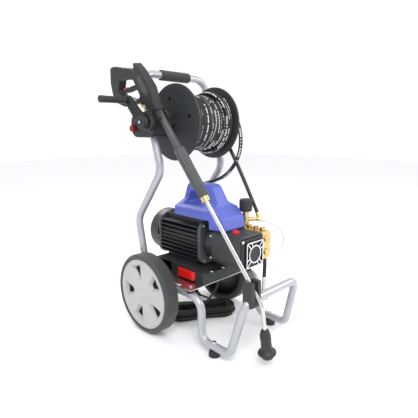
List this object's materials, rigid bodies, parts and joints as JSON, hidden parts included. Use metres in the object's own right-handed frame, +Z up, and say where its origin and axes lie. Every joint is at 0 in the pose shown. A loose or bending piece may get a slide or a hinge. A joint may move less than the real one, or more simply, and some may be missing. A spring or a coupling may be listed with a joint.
{
  "type": "pressure washer",
  "caption": "Wheeled pressure washer: bent tube trolley with motor, plunger pump, hose reel with crank, and a gun and lance held down its front.",
  "frame": {"origin": "centre of the machine's bounding box on the floor, measured without the loose hoses, the mains cord and the fittings on them", "axes": "+Z up, +Y to the back of the trolley (handle and motor fan side), -Y to the toes of the frame, +X to the pump head side; the wheel axle runs along X"},
  "size_m": [0.5823, 0.6674, 0.9726],
  "materials": {
    "frame_paint": "pale silver-grey powder coat",
    "zinc": "zinc plated",
    "foam": "matt foam",
    "black_rubber": "matt",
    "tyre_rubber": "matt",
    "rim_plastic": "light grey",
    "polished_steel": "bright sheet",
    "black_plastic": "fine grain",
    "red_plastic": "gloss",
    "pink_plastic": "gloss",
    "blue_plastic": "satin",
    "black_casting": "black satin paint",
    "bright_casting": "machined",
    "brass": "bright forged",
    "steel": "ground",
    "core": "varnished laminations",
    "reel_plastic": "dark grey satin",
    "hose_rubber": "ribbed satin",
    "clear_tube": "soft clear hose",
    "cable_jacket": "satin",
    "stainless": "bright stainless"
  },
  "bodies": {
    "chassis": {"lower_frame": "frame_paint", "handle_frame": "frame_paint", "frame_fasteners": "zinc", "foam_grip": "foam", "rubber_mounts": "black_rubber", "axle": "steel", "base_plate": "polished_steel", "switch_box": "black_plastic", "cable_gland": "black_plastic", "motor_bracket": "black_casting", "motor_housing": "black_casting", "end_shields": "black_casting", "motor_bearings": "steel", "stator": "core", "fan_cover": "black_casting", "casing_bolts": "zinc", "crankcase": "black_casting", "crankcase_cover": "bright_casting", "plungers": "stainless", "pump_head": "brass", "valve_caps": "brass", "unloader_body": "brass", "outlet_elbow": "brass", "feed_hose": "hose_rubber", "chemical_tube": "clear_tube", "inlet_hose": "hose_rubber", "inlet_coupling": "stainless", "top_cover": "blue_plastic", "reel_brackets": "black_plastic", "reel_swivel": "brass", "hose_tail": "hose_rubber", "hose_coupling": "stainless", "holders": "black_plastic", "power_cord": "cable_jacket", "cord_coil": "cable_jacket", "mains_plug": "black_plastic"},
    "wheel_left": {"tyre_left": "tyre_rubber", "rim_left": "rim_plastic"},
    "wheel_right": {"tyre_right": "tyre_rubber", "rim_right": "rim_plastic"},
    "reel": {"reel_discs": "reel_plastic", "reel_drum": "black_plastic", "hub_elbow": "brass", "hose_winding": "hose_rubber", "crank_arm": "black_plastic"},
    "crank_handle": {"crank_grip": "black_plastic"},
    "lock": {"reel_lock": "pink_plastic"},
    "switch": {"power_switch": "red_plastic"},
    "filler": {"oil_cap": "red_plastic"},
    "unloader": {"unloader_knob": "black_plastic"},
    "motor_shaft": {"rotor": "steel", "cooling_fan": "black_plastic", "crankshaft": "steel"},
    "lance": {"gun_body": "black_plastic", "lance_grip": "black_plastic", "lance_pipe": "stainless", "brass_fittings": "brass"},
    "trigger": {"trigger": "black_plastic"},
    "latch": {"trigger_latch": "pink_plastic"},
    "nozzle": {"nozzle_holder": "black_plastic"}
  },
  "joints": [
    {"name": "wheel_left_spin", "type": "hinge", "parent": "chassis", "child": "wheel_left", "pos_m": [0.056, 0.159, 0.15], "axis": [1, 0, 0], "continuous": true},
    {"name": "wheel_right_spin", "type": "hinge", "parent": "chassis", "child": "wheel_right", "pos_m": [0.056, 0.159, 0.15], "axis": [1, 0, 0], "continuous": true},
    {"name": "reel_spin", "type": "hinge", "parent": "chassis", "child": "reel", "pos_m": [0.056, 0.113, 0.773], "axis": [1, 0, 0], "continuous": true},
    {"name": "crank_handle_spin", "type": "hinge", "parent": "reel", "child": "crank_handle", "pos_m": [0.056, 0.191, 0.846], "axis": [1, 0, 0], "continuous": true},
    {"name": "reel_lock_turn", "type": "hinge", "parent": "chassis", "child": "lock", "pos_m": [0.056, 0.205, 0.753], "axis": [1, 0, 0], "range_deg": [0, 90]},
    {"name": "switch_press", "type": "slide", "parent": "chassis", "child": "switch", "axis": [1, 0, 0], "range_m": [0, 0.003], "stiffness_N_per_m": 400},
    {"name": "oil_cap_lift", "type": "slide", "parent": "chassis", "child": "filler", "axis": [0, 0, 1], "range_m": [0, 0.015]},
    {"name": "unloader_turn", "type": "hinge", "parent": "chassis", "child": "unloader", "pos_m": [0.141, -0.069, 0], "axis": [0, 0, 1], "range_deg": [0, 270]},
    {"name": "motor_spin", "type": "hinge", "parent": "chassis", "child": "motor_shaft", "pos_m": [0.056, 0.159, 0.342], "axis": [0, 1, 0], "continuous": true},
    {"name": "lance_lift", "type": "slide", "parent": "chassis", "child": "lance", "axis": [-0.0731, -0.842, 0.5345], "range_m": [0, 0.06]},
    {"name": "trigger_pull", "type": "hinge", "parent": "lance", "child": "trigger", "pos_m": [-0.14077, 0.17348, 0.90186], "axis": [0.9908, 0, 0.1355], "range_deg": [0, 12], "stiffness_Nm_per_rad": 0.6},
    {"name": "trigger_latch_turn", "type": "hinge", "parent": "trigger", "child": "latch", "pos_m": [-0.13925, 0.27149, 0.8907], "axis": [-0.9908, 0, -0.1355], "range_deg": [0, 12]},
    {"name": "nozzle_turn", "type": "hinge", "parent": "lance", "child": "nozzle", "pos_m": [-0.046, -0.296, 0.209], "axis": [0.1354, -0.0463, -0.9897], "range_deg": [0, 90]}
  ]
}
